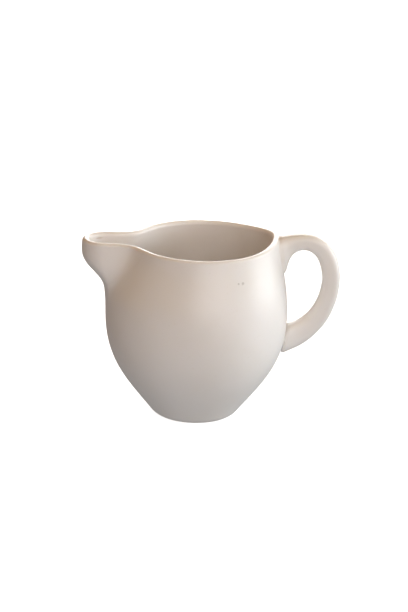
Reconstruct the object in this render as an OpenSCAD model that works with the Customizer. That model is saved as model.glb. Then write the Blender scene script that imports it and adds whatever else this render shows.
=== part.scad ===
// Porcelain cream jug: thrown-shape bowl, pinched pouring spout and a loop handle.
// The foot rests on z = 0, the bowl's axis is Z, the spout points to -X and the handle to +X.

/* [Bowl] */
// Mean height of the rim above the table
rim_height = 86.5; // [82:0.5:92]
// Radius of the bowl at its widest
belly_radius = 43.7; // [41:0.1:46]
// Height of the widest place
belly_height = 50; // [46:0.5:53]
// Outer radius of the bowl at the rim
mouth_radius = 38.5; // [37:0.1:40]
// Thickness of the wall, which is also the diameter of the rounded rim
wall = 3.4; // [2.6:0.1:4]
// Thickness of the floor above the foot ring
floor_thickness = 3.8; // [3:0.1:6]
// How much the rim rises where the handle meets it
handle_side_rise = 3; // [0:0.1:3.5]
// How much the rim rises at the spout
spout_side_rise = 0.3; // [0:0.1:2]

/* [Foot] */
// Outer radius of the flat part of the foot that touches the table
foot_radius = 17.4; // [16:0.1:18]
// Outer radius of the foot where the bowl starts
foot_top_radius = 21.6; // [20.5:0.1:22.5]
// Height of the foot ring
foot_height = 3.2; // [2.5:0.1:4]
// Width of the bare ring that touches the table
foot_land = 2.4; // [1.5:0.1:4]

/* [Spout] */
// Distance of the spout's tip from the bowl's axis
spout_reach = 55.4; // [52:0.1:58]
// Half the width of the spout
spout_half_width = 11.7; // [11:0.1:13.5]
// How far the throat is pinched in beside the spout
throat_pinch = 7.3; // [4:0.1:8]
// Radius that rounds the throat into the spout
throat_round = 24; // [12:0.1:24]
// Height of the middle of the spout's chin
chin_height = 71.3; // [69:0.1:74]
// Height over which the chin curls in, as a logistic scale
chin_softness = 3.85; // [3:0.05:4.5]

/* [Handle] */
// Half the width of the handle's bar, from side to side
handle_half_width = 4.9; // [4:0.1:6]
// Squareness of the bar's section, 2 for an ellipse
handle_squareness = 3.2; // [2.2:0.1:5]

/* [Hidden] */

glaze_white = [0.93, 0.92, 0.90];
slip_white = [0.88, 0.86, 0.83];
biscuit_white = [0.86, 0.82, 0.76];

// The bowl's outline is two cubic curves that meet at the belly.
foot_slope = 51.5;
foot_pull = 19;
belly_pull_down = 22;
belly_pull_up = 15.4;
mouth_pull = 12;
mouth_lean = 0.115;
low_curve = [
    [foot_top_radius, foot_height],
    [foot_top_radius + foot_pull * cos(foot_slope), foot_height + foot_pull * sin(foot_slope)],
    [belly_radius, belly_height - belly_pull_down],
    [belly_radius, belly_height]
];
high_curve = [
    [belly_radius, belly_height],
    [belly_radius, belly_height + belly_pull_up],
    [mouth_radius + mouth_pull * mouth_lean, rim_height - mouth_pull],
    [mouth_radius, rim_height]
];

function bezier(c, t) = pow(1 - t, 3) * c[0] + 3 * pow(1 - t, 2) * t * c[1]
    + 3 * (1 - t) * t * t * c[2] + pow(t, 3) * c[3];

// Place along a rising curve where it reaches height z, by halving.
halvings = 22;
function place_at(c, z, lo = 0, hi = 1, n = halvings) =
    let (mid = (lo + hi) / 2)
    n == 0 ? mid
    : bezier(c, mid)[1] < z ? place_at(c, z, mid, hi, n - 1)
    : place_at(c, z, lo, mid, n - 1);

function radius_at(z) =
    z < belly_height ? bezier(low_curve, place_at(low_curve, z))[0]
    : bezier(high_curve, place_at(high_curve, z))[0];

function smooth(from, to, x) =
    let (t = min(max((x - from) / (to - from), 0), 1))
    t * t * (3 - 2 * t);

// The spout grows out of the wall with height as a logistic step.
function logistic(z) = 1 / (1 + exp(-(z - chin_height) / chin_softness));
function spout_growth(z) = logistic(z) / logistic(rim_height);

// The pinch and the rise of the rim fade out down the wall.
pinch_start = 58;
rise_start = 55;
pinch_spread = 65;
function pinch_weight(z) = smooth(pinch_start, rim_height, z);
function rise_weight(z) = smooth(rise_start, rim_height, z);
function pinch(s) = throat_pinch * exp(-pow(s / pinch_spread, 2));

handle_rise_spread = 35;
spout_rise_spread = 80;
function rise(s) = handle_side_rise * exp(-pow((180 - s) / handle_rise_spread, 2))
    + spout_side_rise * exp(-pow(s / spout_rise_spread, 2));

// Plan of the spout at the rim: two parallel sides closed by a round nose.
nose_centre = spout_reach - spout_half_width;
function beak(s) =
    cos(s) <= 0 ? 0
    : let (
        across = nose_centre * sin(s),
        nose = nose_centre * cos(s) + sqrt(max(pow(spout_half_width, 2) - across * across, 0))
    )
    across <= spout_half_width && nose * cos(s) >= nose_centre ? nose
    : spout_half_width / sin(s);

// Larger of two radii, rounded where they cross.
function round_max(a, b, k) =
    let (h = max(k - abs(a - b), 0) / k)
    max(a, b) + h * h * h * k / 6;

function spout_reach_past_wall(s) =
    let (pinched = mouth_radius - pinch(s))
    round_max(pinched, beak(s), throat_round) - pinched;

// One row of the wall: height, radius and the weights of spout, pinch and rise.
function row_at(z) = [z, radius_at(z), spout_growth(z), pinch_weight(z), rise_weight(z)];

// Point of the outer wall, s degrees round from the spout.
function outer_point(s, row) =
    let (
        turn = s > 180 ? 360 - s : s,
        r = row[1] - row[3] * pinch(turn) + row[2] * spout_reach_past_wall(turn)
    )
    [-r * cos(s), -r * sin(s), row[0] + row[4] * rise(turn)];

function unit(v) = v / norm(v);

// The wall is a grid of cells, columns round the bowl by rows up the wall.
spout_cells = 9;
seam_cells = 1;
side_cells = 14;
grip_cells = 3;
half_columns = spout_cells + seam_cells + side_cells + grip_cells;
columns = 2 * half_columns;

notch_angle = 38;
seam_angle = 1.8;
grip_angle = 7.8;
side_grading = 1.2;
side_span = 180 - grip_angle - notch_angle - seam_angle;
half_angles = [
    for (i = [0:spout_cells - 1]) notch_angle * i / spout_cells,
    notch_angle,
    for (i = [0:side_cells - 1])
        notch_angle + seam_angle + side_span * pow(i / side_cells, side_grading),
    for (i = [0:grip_cells]) 180 - grip_angle + grip_angle * i / grip_cells
];
column_angles = [
    for (a = half_angles) a,
    for (i = [half_columns - 1:-1:1]) 360 - half_angles[i]
];

// Heights where the rows have to fall.
lower_joint_bottom = 30.9;
lower_joint_top = 46.4;
notch_bottom = 60;
seam_width = 1.2;
upper_joint_bottom = 71.4;
shoulder = rim_height - wall / 2;

foot_rows = 8;
joint_rows = 6;
crest_rows = 3;
crest_rows_in_joint = 2;
bands = [
    [foot_height, lower_joint_bottom, foot_rows],
    [lower_joint_bottom, lower_joint_top, joint_rows],
    [lower_joint_top, notch_bottom, 4],
    [notch_bottom, notch_bottom + seam_width, 1],
    [notch_bottom + seam_width, upper_joint_bottom, 4],
    [upper_joint_bottom, shoulder, joint_rows - crest_rows_in_joint]
];
row_heights = [
    for (b = bands, k = [0:b[2] - 1]) b[0] + (b[1] - b[0]) * k / b[2],
    shoulder
];
wall_rows = len(row_heights) - 1;
rows = wall_rows + crest_rows;
seam_row = foot_rows + joint_rows + 4;
upper_joint_row = seam_row + 5;

// The columns beside the spout draw together down the wall, so the notch tapers.
notch_taper = 0.5;
taper_fade_from = 40;
taper_fade_to = 140;
function drawn_in(s, z) =
    let (
        turn = s > 180 ? 360 - s : s,
        fade = 1 - smooth(taper_fade_from, taper_fade_to, turn),
        drawn = turn * (1 - notch_taper * fade * (1 - smooth(notch_bottom, rim_height, z)))
    )
    s > 180 ? 360 - drawn : drawn;

wall_table = [for (z = row_heights) row_at(z)];
probe = 0.02;
wall_table_up = [for (z = row_heights) row_at(z + probe)];
wall_table_down = [for (z = row_heights) row_at(z - probe)];

function column_angle(i, j) = drawn_in(column_angles[i], row_heights[j]);

// Outward normal of the wall, from two small steps.
function wall_normal(i, j) =
    let (
        s = column_angle(i, j),
        round_step = outer_point(s + probe, wall_table[j]) - outer_point(s - probe, wall_table[j]),
        up_step = outer_point(s, wall_table_up[j]) - outer_point(s, wall_table_down[j])
    )
    unit(cross(round_step, up_step));

// The inner wall is the outer one moved in by the wall, and rounded into the floor.
floor_top = foot_height + floor_thickness;
floor_round = 7;
function into_floor(p) = [p[0], p[1], round_max(p[2], floor_top, floor_round)];

// Half circle over the rim: side is 1 for the outer quarter and -1 for the inner one.
function crest_point(i, j, side) =
    let (
        n = wall_normal(i, wall_rows),
        up = unit([0, 0, 1] - n[2] * n),
        centre = outer_point(column_angle(i, wall_rows), wall_table[wall_rows]) - n * wall / 2,
        a = 90 * (j - wall_rows) / crest_rows
    )
    centre + (side * cos(a) * n + sin(a) * up) * wall / 2;

function outside(i, j) =
    j > wall_rows ? crest_point(i, j, 1)
    : outer_point(column_angle(i, j), wall_table[j]);

function inside(i, j) =
    j > wall_rows ? crest_point(i, j, -1)
    : into_floor(outside(i, j) - wall * wall_normal(i, j));

outer_grid = [for (j = [0:rows], i = [0:columns - 1]) outside(i, j)];
inner_grid = [for (j = [0:rows - 1], i = [0:columns - 1]) inside(i, j)];

// Rings of the bowl's inside floor, dished a little towards its middle.
floor_rings = 3;
floor_grid = [
    for (k = [floor_rings - 1:-1:1], i = [0:columns - 1])
        let (p = inner_grid[i], f = k / floor_rings)
        [p[0] * f, p[1] * f, floor_top + (p[2] - floor_top) * f * f],
    [0, 0, floor_top]
];
wall_points = concat(outer_grid, inner_grid, floor_grid);

function round_column(i) = (i + columns) % columns;
function out_at(i, j) = j * columns + round_column(i);
function in_at(i, j) = j == rows ? out_at(i, j) : len(outer_grid) + j * columns + round_column(i);
function floor_at(i, k) =
    k == 0 ? in_at(i, 0) : len(outer_grid) + len(inner_grid) + (k - 1) * columns + round_column(i);
floor_middle = len(wall_points) - 1;

// Which piece a cell of the wall belongs to.
IN_BODY = 0;
IN_SPOUT = 1;
IN_SEAM = 2;
function half_cell(i) = let (c = round_column(i)) min(c, columns - 1 - c);
function piece_of(i, j) =
    j < seam_row || half_cell(i) > spout_cells ? IN_BODY
    : j > seam_row && half_cell(i) < spout_cells ? IN_SPOUT
    : IN_SEAM;

// Two triangles for a quad a, b, c, d that runs clockwise, split from a to c.
function split(a, b, c, d) = [[a, b, c], [a, c, d]];

// The diagonals mirror each other across the jug's plane of symmetry.
function outer_cell(i, j) =
    i < half_columns
    ? split(out_at(i, j), out_at(i, j + 1), out_at(i + 1, j + 1), out_at(i + 1, j))
    : split(out_at(i + 1, j), out_at(i, j), out_at(i, j + 1), out_at(i + 1, j + 1));
function inner_cell(i, j) =
    i < half_columns
    ? split(in_at(i, j), in_at(i + 1, j), in_at(i + 1, j + 1), in_at(i, j + 1))
    : split(in_at(i + 1, j), in_at(i + 1, j + 1), in_at(i, j + 1), in_at(i, j));

// Sides of a cell that face another piece.
function low_side(i, j) = split(out_at(i, j), out_at(i + 1, j), in_at(i + 1, j), in_at(i, j));
function high_side(i, j) =
    split(out_at(i, j + 1), in_at(i, j + 1), in_at(i + 1, j + 1), out_at(i + 1, j + 1));
function left_side(i, j) =
    j + 1 == rows ? [[out_at(i, j + 1), out_at(i, j), in_at(i, j)]]
    : split(out_at(i, j), in_at(i, j), in_at(i, j + 1), out_at(i, j + 1));
function right_side(i, j) =
    j + 1 == rows ? [[out_at(i + 1, j), out_at(i + 1, j + 1), in_at(i + 1, j)]]
    : split(out_at(i + 1, j), out_at(i + 1, j + 1), in_at(i + 1, j + 1), in_at(i + 1, j));

function cell_faces(i, j, piece) = concat(
    outer_cell(i, j),
    inner_cell(i, j),
    j > 0 && piece_of(i, j - 1) != piece ? low_side(i, j) : [],
    j + 1 < rows && piece_of(i, j + 1) != piece ? high_side(i, j) : [],
    piece_of(i - 1, j) != piece ? left_side(i, j) : [],
    piece_of(i + 1, j) != piece ? right_side(i, j) : []
);

function wall_faces(piece) = [
    for (j = [0:rows - 1], i = [0:columns - 1])
        if (piece_of(i, j) == piece)
            each cell_faces(i, j, piece)
];

underside = [[for (i = [0:columns - 1]) out_at(i, 0)]];
floor_faces = [
    for (k = [0:floor_rings - 2], i = [0:columns - 1])
        each split(floor_at(i, k), floor_at(i, k + 1), floor_at(i + 1, k + 1), floor_at(i + 1, k)),
    for (i = [0:columns - 1])
        [floor_at(i + 1, floor_rings - 1), floor_at(i, floor_rings - 1), floor_middle]
];

// The handle's outline in the plane y = 0, from the rim to the lower joint:
// a point of its outer edge, the point across the bar from it, and a scale for the width.
handle_stations = [
    [[39.9, 89.5], [42.6, 73.2], 1.30],
    [[42.2, 89.9], [43.4, 76.4], 1.14],
    [[44.6, 90.3], [44.4, 79.1], 1.05],
    [[47.2, 90.6], [46.2, 81.4], 1.00],
    [[50.2, 90.8], [49.4, 82.9], 0.98],
    [[53.5, 90.6], [52.4, 82.8], 0.98],
    [[57.7, 89.5], [55.3, 81.2], 0.98],
    [[62.4, 86.0], [57.2, 78.8], 0.99],
    [[66.3, 79.8], [58.8, 74.8], 1.00],
    [[68.3, 71.6], [59.8, 69.6], 1.00],
    [[68.1, 64.5], [59.6, 65.0], 1.00],
    [[66.7, 57.3], [58.1, 59.0], 1.00],
    [[63.1, 48.6], [55.0, 53.1], 1.00],
    [[57.3, 41.1], [51.0, 48.9], 1.02],
    [[50.6, 35.7], [47.7, 46.9], 1.08],
    [[43.0, 32.0], [45.2, 45.8], 1.22]
];
rings_between = 3;
ring_sides = 4 * joint_rows;

function spline(a, b, c, d, t) =
    b + t / 2 * (c - a + t * (2 * a - 5 * b + 4 * c - d + t * (3 * (b - c) + d - a)));

last_station = len(handle_stations) - 1;
function station(k) = handle_stations[min(max(k, 0), last_station)];
function between_stations(k, t, what) =
    spline(station(k - 1)[what], station(k)[what], station(k + 1)[what], station(k + 2)[what], t);
bar_path = [
    for (k = [0:last_station - 1], m = [0:rings_between - 1])
        [for (what = [0:2]) between_stations(k, m / rings_between, what)],
    station(last_station)
];

// Walk round a square from -1 to 1, in steps that match the cells of a joint's footprint.
function square_walk(k) =
    let (side = floor(k / joint_rows), t = 2 * (k % joint_rows) / joint_rows - 1)
    side == 0 ? [t, -1] : side == 1 ? [1, t] : side == 2 ? [-t, 1] : [-1, -t];

// One point of the bar's rounded section: u across the jug, v from inner to outer edge.
function section_point(ring, k) =
    let (
        w = square_walk(k),
        p = handle_squareness,
        m = pow(pow(abs(w[0]), p) + pow(abs(w[1]), p), 1 / p),
        middle = (ring[0] + ring[1]) / 2,
        half = (ring[0] - ring[1]) / 2,
        at = middle + half * w[1] / m
    )
    [at[0], handle_half_width * ring[2] * w[0] / m, at[1]];
function section_ring(ring) = [for (k = [0:ring_sides - 1]) section_point(ring, k)];
function section_middle(ring) =
    let (m = (ring[0] + ring[1]) / 2)
    [m[0], 0, m[1]];
function next_side(k) = (k + 1) % ring_sides;

// Slip joint between a footprint of wall cells and an end ring of the handle.
footprint_side = joint_rows + 1;
function footprint_points(first_row) = [
    for (j = [0:joint_rows], i = [0:joint_rows])
        outside(half_columns - grip_cells + i, first_row + j)
];
function footprint_at(i, j) = j * footprint_side + i;
function footprint_edge(k, flip) =
    let (w = square_walk(k), half = joint_rows / 2)
    footprint_at(round(half + half * w[0]), round(half + half * w[1] * flip));
function turned(face, flip) = flip > 0 ? face : [for (k = [len(face) - 1:-1:0]) face[k]];

module slip_joint(first_row, ring, flip) {
    patch = footprint_points(first_row);
    collar = section_ring(ring);
    start = len(patch);
    cap = start + ring_sides;
    wall_side = [
        for (j = [0:joint_rows - 1], i = [0:joint_rows - 1])
            let (
                a = footprint_at(i, j),
                b = footprint_at(i + 1, j),
                c = footprint_at(i + 1, j + 1),
                d = footprint_at(i, j + 1)
            )
            each i < grip_cells ? split(a, b, c, d) : split(b, c, d, a)
    ];
    skirt = [
        for (k = [0:ring_sides - 1])
            let (
                a = footprint_edge(k, flip),
                b = footprint_edge(next_side(k), flip)
            )
            for (f = split(b, a, start + k, start + next_side(k)))
                turned(f, flip)
    ];
    handle_side = [
        for (k = [0:ring_sides - 1])
            turned([start + next_side(k), start + k, cap], flip)
    ];
    polyhedron(
        points = concat(patch, collar, [section_middle(ring)]),
        faces = concat(wall_side, skirt, handle_side)
    );
}

module body() {
    color(glaze_white)
        polyhedron(points = wall_points, faces = concat(wall_faces(IN_BODY), underside, floor_faces));
}

module spout() {
    color(glaze_white)
        polyhedron(points = wall_points, faces = wall_faces(IN_SPOUT));
}

module spout_slip_seam() {
    color(slip_white)
        polyhedron(points = wall_points, faces = wall_faces(IN_SEAM));
}

module foot_ring() {
    flank_pull = 2.6;
    flank_steps = 6;
    inner_lean = 0.8;
    land_outer = [foot_radius, 0];
    top = [foot_top_radius, foot_height];
    bend = top - flank_pull * [cos(foot_slope), sin(foot_slope)];
    flank = [
        for (k = [0:flank_steps])
            let (t = k / flank_steps)
            (1 - t) * (1 - t) * land_outer + 2 * t * (1 - t) * bend + t * t * top
    ];
    color(biscuit_white)
        rotate_extrude($fn = 96)
            polygon([
                [foot_radius - foot_land, 0],
                each flank,
                [foot_radius - foot_land - inner_lean, foot_height]
            ]);
}

module handle() {
    rings = len(bar_path);
    points = [
        for (ring = bar_path) each section_ring(ring),
        section_middle(bar_path[0]),
        section_middle(bar_path[rings - 1])
    ];
    first_cap = rings * ring_sides;
    last_cap = first_cap + 1;
    last_ring = (rings - 1) * ring_sides;
    faces = [
        for (k = [0:ring_sides - 1])
            [k, next_side(k), first_cap],
        for (r = [0:rings - 2], k = [0:ring_sides - 1])
            let (a = r * ring_sides, b = a + ring_sides)
            each split(a + next_side(k), a + k, b + k, b + next_side(k)),
        for (k = [0:ring_sides - 1])
            [last_ring + next_side(k), last_ring + k, last_cap]
    ];
    color(glaze_white)
        polyhedron(points = points, faces = faces);
}

module upper_handle_slip_joint() {
    color(slip_white)
        slip_joint(upper_joint_row, bar_path[0], 1);
}

module lower_handle_slip_joint() {
    color(slip_white)
        slip_joint(foot_rows, bar_path[len(bar_path) - 1], -1);
}

body();
spout();
spout_slip_seam();
foot_ring();
handle();
upper_handle_slip_joint();
lower_handle_slip_joint();
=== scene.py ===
"""Porcelain cream jug: glazed bowl with a pinched spout, a luted loop handle and a bare foot ring."""

import math

import bmesh
import bpy
import numpy as np
from mathutils import Matrix, Vector
from mathutils.bvhtree import BVHTree


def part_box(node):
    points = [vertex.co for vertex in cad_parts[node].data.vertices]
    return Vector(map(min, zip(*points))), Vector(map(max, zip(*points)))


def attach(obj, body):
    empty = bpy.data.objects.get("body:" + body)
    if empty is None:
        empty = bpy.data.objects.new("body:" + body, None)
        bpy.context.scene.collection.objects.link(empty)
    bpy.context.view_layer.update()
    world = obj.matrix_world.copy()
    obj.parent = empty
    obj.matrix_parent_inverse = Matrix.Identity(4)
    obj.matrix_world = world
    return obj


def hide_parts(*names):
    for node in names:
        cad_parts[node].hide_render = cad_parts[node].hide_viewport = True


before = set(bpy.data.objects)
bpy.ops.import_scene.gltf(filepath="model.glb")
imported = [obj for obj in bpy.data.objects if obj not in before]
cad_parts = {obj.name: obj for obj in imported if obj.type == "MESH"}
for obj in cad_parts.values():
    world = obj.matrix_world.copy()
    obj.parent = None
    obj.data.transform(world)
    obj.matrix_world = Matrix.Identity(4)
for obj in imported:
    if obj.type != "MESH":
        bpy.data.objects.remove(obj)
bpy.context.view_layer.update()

bl_info = {
    "name": "Porcelain Cream Jug",
    "version": (1, 0, 0),
    "blender": (4, 5, 0),
    "location": "View3D > Sidebar > Cream Jug",
    "description": "Builds a small glazed porcelain jug: bowl, spout, handle, slip joints and foot",
    "category": "Add Mesh",
}

MM = 0.001
WELD = 0.001 * MM
FOOT_LOW, FOOT_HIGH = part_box("foot_ring")


# ---- Sizes and colours that a user would change ----


def length(name, description, default):
    return bpy.props.FloatProperty(
        name=name, description=description, default=default, unit="LENGTH", precision=5
    )


def turn(name, description, degrees):
    return bpy.props.FloatProperty(
        name=name, description=description, default=math.radians(degrees), unit="ROTATION"
    )


def colour(name, description, default):
    return bpy.props.FloatVectorProperty(
        name=name, description=description, default=default, subtype="COLOR", size=3, min=0, max=1
    )


class JugSizes(bpy.types.PropertyGroup):
    rim_height: length("Rim height", "Mean height of the rim above the table", 86.5 * MM)
    belly_radius: length("Belly radius", "Radius of the bowl at its widest", 43.7 * MM)
    belly_height: length("Belly height", "Height of the widest place", 50 * MM)
    mouth_radius: length("Mouth radius", "Outer radius of the bowl at the rim", 38.5 * MM)
    wall: length("Wall", "Thickness of the wall and diameter of the rounded rim", 3.4 * MM)
    floor_thickness: length("Floor", "Thickness of the floor above the foot ring", 3.8 * MM)
    handle_side_rise: length("Rise at the handle", "How much the rim rises at the handle", 3 * MM)
    spout_side_rise: length("Rise at the spout", "How much the rim rises at the spout", 0.3 * MM)
    foot_top_radius: length("Foot top radius", "Radius where the bowl starts", FOOT_HIGH.x)
    foot_height: length("Foot height", "Height of the foot ring", FOOT_HIGH.z)
    foot_radius: length("Foot radius", "Outer radius of the flat of the foot", 17.4 * MM)
    foot_land: length("Foot land", "Width of the bare ring that touches the table", 2.4 * MM)
    spout_reach: length("Spout reach", "Distance of the spout's tip from the axis", 55.4 * MM)
    spout_half_width: length("Spout half width", "Half the width of the spout", 11.7 * MM)
    throat_pinch: length("Throat pinch", "How far the throat is pinched in", 7.3 * MM)
    throat_round: length("Throat rounding", "Rounding of the throat into the spout", 24 * MM)
    chin_height: length("Chin height", "Height of the middle of the spout's chin", 71.3 * MM)
    chin_softness: length("Chin softness", "Height over which the chin curls in", 3.85 * MM)
    handle_half_width: length("Handle half width", "Half the width of the handle's bar", 4.9 * MM)
    handle_squareness: bpy.props.FloatProperty(
        name="Handle squareness", description="2 is an ellipse, more is squarer", default=3.2
    )
    notch_angle: turn("Notch angle", "Turn from the spout's tip to its luted edge", 38)
    seam_angle: turn("Seam angle", "Turn that the slip seam takes beside the spout", 1.8)
    columns: bpy.props.IntProperty(name="Columns", description="Faces round the bowl", default=272)
    floor_rows: bpy.props.IntProperty(name="Floor rows", description="Rows in the floor", default=14)
    wall_rows: bpy.props.IntProperty(name="Wall rows", description="Rows up the wall", default=104)
    rim_rows: bpy.props.IntProperty(name="Rim rows", description="Rows over half the rim", default=8)


class JugFinish(bpy.types.PropertyGroup):
    glaze: colour("Glaze", "Colour of the glazed porcelain", (0.86, 0.835, 0.81))
    pooled_glaze: colour("Pooled glaze", "Colour where the glaze lies thick", (0.78, 0.74, 0.68))
    biscuit: colour("Biscuit", "Colour of the bare clay", (0.74, 0.68, 0.58))
    speck: colour("Speck", "Colour of an iron speck in the glaze", (0.16, 0.12, 0.09))
    # colour of a thin brown mark on the spout's lip
    stain: colour("Lip mark", "Colour of the cream stain in the lip's hairline", (0.45, 0.30, 0.16))
    glaze_roughness: bpy.props.FloatProperty(
        name="Glaze roughness", description="Roughness of the glaze", default=0.4, min=0, max=1
    )


# ---- Node trees written as sums ----


class Field:
    """A socket of a node tree. A sum written with it adds the math node that works it out."""

    def __init__(self, tree, socket):
        self.tree = tree
        self.socket = socket
        self.is_vector = socket.type == "VECTOR"

    def math(self, operation, *others):
        new = add_node(self.tree, "ShaderNodeMath", operation=operation)
        for slot, value in zip(new.inputs, (self, *others)):
            plug(self.tree, value, slot)
        return Field(self.tree, new.outputs[0])

    def vector(self, operation, *others, answer="Vector"):
        new = add_node(self.tree, "ShaderNodeVectorMath", operation=operation)
        for slot, value in zip(new.inputs, (self, *others)):
            plug(self.tree, value, slot)
        return Field(self.tree, new.outputs[answer])

    def scaled(self, factor):
        new = add_node(self.tree, "ShaderNodeVectorMath", operation="SCALE")
        plug(self.tree, self, new.inputs[0])
        plug(self.tree, factor, new.inputs["Scale"])
        return Field(self.tree, new.outputs["Vector"])

    def __add__(self, other):
        return self.vector("ADD", other) if self.is_vector else self.math("ADD", other)

    def __sub__(self, other):
        return self.vector("SUBTRACT", other) if self.is_vector else self.math("SUBTRACT", other)

    def __rsub__(self, other):
        return self.math("MULTIPLY_ADD", -1, other)

    def __mul__(self, other):
        return self.scaled(other) if self.is_vector else self.math("MULTIPLY", other)

    def __rmul__(self, other):
        return self * other

    def __truediv__(self, other):
        return self.math("DIVIDE", other)

    def __rtruediv__(self, other):
        plugs = {0: other, 1: self}
        return field(self.tree, "ShaderNodeMath", plugs=plugs, operation="DIVIDE")

    def __pow__(self, power):
        return self.math("POWER", power)


def plug(tree, value, slot):
    if isinstance(value, Field):
        tree.links.new(value.socket, slot)
    else:
        slot.default_value = value


def add_node(tree, kind, plugs=None, **settings):
    new = tree.nodes.new(kind)
    for name, value in settings.items():
        setattr(new, name, value)
    for name, value in (plugs or {}).items():
        plug(tree, value, new.inputs[name])
    return new


def field(tree, kind, output=0, plugs=None, **settings):
    return Field(tree, add_node(tree, kind, plugs, **settings).outputs[output])


def smooth(x, low, high):
    """0 below low, 1 above high and a smooth step between."""
    plugs = {"Value": x, "From Min": low, "From Max": high}
    return field(x.tree, "ShaderNodeMapRange", plugs=plugs, interpolation_type="SMOOTHSTEP")


def mix(a, b, weight):
    return (b - a) * weight + a


def round_max(a, b, reach):
    """The larger of two numbers, rounded where they cross."""
    near = ((a - b).math("ABSOLUTE") * -1 + reach).math("MAXIMUM", 0) / reach
    return a.math("MAXIMUM", b) + near * near * near * (reach / 6)


def gather(tree, x, y, z):
    return field(tree, "ShaderNodeCombineXYZ", plugs={"X": x, "Y": y, "Z": z})


def split_up(vector):
    parts = add_node(vector.tree, "ShaderNodeSeparateXYZ", {"Vector": vector})
    return [Field(vector.tree, parts.outputs[k]) for k in range(3)]


def switch(tree, test, when_no, when_yes):
    plugs = {"Switch": test, "False": when_no, "True": when_yes}
    return field(tree, "GeometryNodeSwitch", plugs=plugs, input_type="VECTOR")


def store(tree, geometry, name, value, kind="FLOAT_VECTOR", where=None):
    """Keep a value on each point, or on those that where picks."""
    plugs = {"Geometry": geometry, "Name": name, "Value": value}
    if where is not None:
        plugs["Selection"] = where
    return field(tree, "GeometryNodeStoreNamedAttribute", plugs=plugs, data_type=kind)


def stored(tree, name, kind="FLOAT_VECTOR"):
    return field(tree, "GeometryNodeInputNamedAttribute", plugs={"Name": name}, data_type=kind)


def new_tree(name, inputs, output_kind, output_name):
    """A geometry tree with named inputs. Returns it, its inputs as fields and its output slot."""
    tree = bpy.data.node_groups.new(name, "GeometryNodeTree")
    for label, (kind, default) in inputs.items():
        made = tree.interface.new_socket(name=label, in_out="INPUT", socket_type=kind)
        if default is not None:
            made.default_value = default
    tree.interface.new_socket(name=output_name, in_out="OUTPUT", socket_type=output_kind)
    ends = tree.nodes.new("NodeGroupInput")
    given = {label: Field(tree, ends.outputs[label]) for label in inputs}
    return tree, given, tree.nodes.new("NodeGroupOutput").inputs[output_name]


def number(value):
    """Kind of input socket for a number, and the number as its default."""
    return ("NodeSocketInt" if isinstance(value, int) else "NodeSocketFloat", value)


def weld(tree, mesh):
    plugs = {"Geometry": mesh, "Distance": WELD}
    return field(tree, "GeometryNodeMergeByDistance", plugs=plugs)


def finish_tree(tree, mesh, material, output):
    """Weld the tree's result, shade it smooth, make it real and give it its material."""
    even = field(tree, "GeometryNodeSetShadeSmooth", plugs={"Geometry": weld(tree, mesh)})
    whole = field(tree, "GeometryNodeRealizeInstances", plugs={"Geometry": even})
    plugs = {"Geometry": whole, "Material": material}
    plug(tree, field(tree, "GeometryNodeSetMaterial", plugs=plugs), output)


# ---- The wall of the bowl ----

WALL_SIZES = (
    "rim_height", "belly_radius", "belly_height", "mouth_radius", "wall", "floor_thickness",
    "handle_side_rise", "spout_side_rise", "foot_top_radius", "foot_height", "spout_reach",
    "spout_half_width", "throat_pinch", "throat_round", "chin_height", "chin_softness",
)
# slope of the outline above the foot, and how far its control points pull it
FOOT_SLOPE = math.radians(51.5)
FOOT_PULL = 19 * MM
BELLY_PULL_DOWN = 22 * MM
BELLY_PULL_UP = 15.4 * MM
MOUTH_PULL = 12 * MM
MOUTH_LEAN = 0.115
# heights where the pinch and the rim's rise begin, and how far round the jug they spread
PINCH_START = 58 * MM
PINCH_SPREAD = math.radians(65)
RISE_START = 55 * MM
HANDLE_RISE_SPREAD = math.radians(35)
SPOUT_RISE_SPREAD = math.radians(80)
LEAST_SINE = 0.1
# the notch that the spout is luted into, and the turns between which its columns draw together
NOTCH_BOTTOM = 60 * MM
SEAM_WIDTH = 1.2 * MM
NOTCH_TAPER = 0.5
TAPER_TURNS = (math.radians(40), math.radians(140))
FLOOR_ROUND = 7 * MM
SPOUT_CROWDING = 0.42
# step of turn and climb over which the wall's normal is measured
NORMAL_STEP = 0.001


def low_curve(size):
    """Control points, as radius and height, of the outline from the foot to the belly."""
    foot_r, foot_z = size["foot_top_radius"], size["foot_height"]
    return (
        (foot_r, foot_z),
        (foot_r + FOOT_PULL * math.cos(FOOT_SLOPE), foot_z + FOOT_PULL * math.sin(FOOT_SLOPE)),
        (size["belly_radius"], size["belly_height"] - BELLY_PULL_DOWN),
        (size["belly_radius"], size["belly_height"]),
    )


def high_curve(size):
    """Control points, as radius and height, of the outline from the belly to the rim."""
    return (
        (size["belly_radius"], size["belly_height"]),
        (size["belly_radius"], size["belly_height"] + BELLY_PULL_UP),
        (size["mouth_radius"] + MOUTH_PULL * MOUTH_LEAN, size["rim_height"] - MOUTH_PULL),
        (size["mouth_radius"], size["rim_height"]),
    )


def bezier(a, b, c, d, t):
    s = 1 - t
    return a * (s * s * s) + b * (s * s * t * 3) + c * (s * t * t * 3) + d * (t * t * t)


def climb_to(size, height):
    """How far along the outline a height is: 0 at the foot's top, 1 at the belly, 2 at the rim."""
    curve, start = (low_curve(size), 0) if height < size["belly_height"] else (high_curve(size), 1)
    low, high = 0.0, 1.0
    for _ in range(40):
        middle = (low + high) / 2
        if bezier(*[p[1] for p in curve], middle) < height:
            low = middle
        else:
            high = middle
    return start + low


def outline_field(size, climb):
    """Radius and height of the outline, before pinch and spout, at a climb from 0 to 2."""
    low = climb.math("MINIMUM", 1)
    high = (climb - 1).math("MAXIMUM", 0)
    upper = climb.math("GREATER_THAN", 1)
    places = []
    for k in (0, 1):
        below = bezier(*[p[k] for p in low_curve(size)], low)
        above = bezier(*[p[k] for p in high_curve(size)], high)
        places.append(mix(below, above, upper))
    return places


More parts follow.
